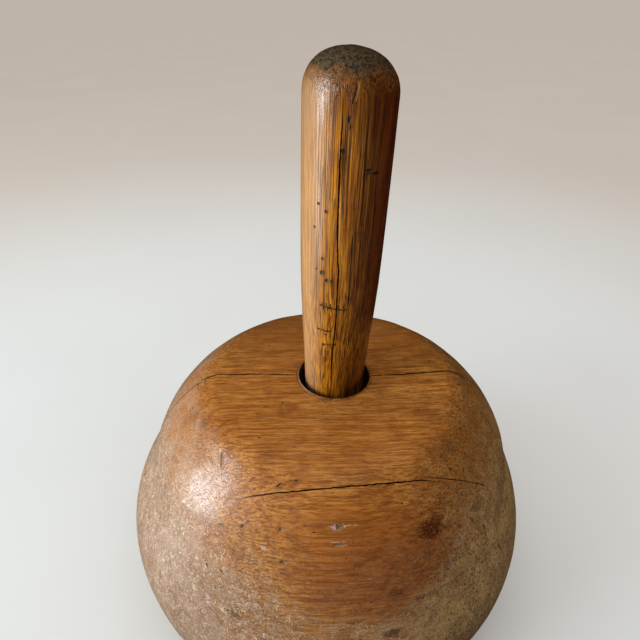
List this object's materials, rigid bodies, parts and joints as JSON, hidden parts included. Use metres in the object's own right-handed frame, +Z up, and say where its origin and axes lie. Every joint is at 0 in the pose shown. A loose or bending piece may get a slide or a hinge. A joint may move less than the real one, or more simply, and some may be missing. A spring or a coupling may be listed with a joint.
{
  "type": "curling stone",
  "caption": "Antique wooden curling stone: round turned hardwood block with an upright peg handle wedged in a socket in its crown.",
  "frame": {"origin": "centre of the flat sole", "axes": "+Z up through the crown, +X along the block's grain and towards the side that the handle leans to"},
  "size_m": [0.2498, 0.2386, 0.3162],
  "materials": {
    "stone_wood": "worn oiled hardwood, checked and grey at the end grain",
    "handle_wood": "hand-polished ring-porous hardwood, dark grime at the top",
    "wedge_wood": "raw split hardwood"
  },
  "bodies": {
    "stone": {"stone_body": "stone_wood"},
    "grip": {"handle": "handle_wood", "tenon_wedge": "wedge_wood"}
  },
  "joints": [
    {"name": "handle_lift", "type": "slide", "parent": "stone", "child": "grip", "axis": [0.0286, 0, 0.9996], "range_m": [0, 0.09]}
  ]
}
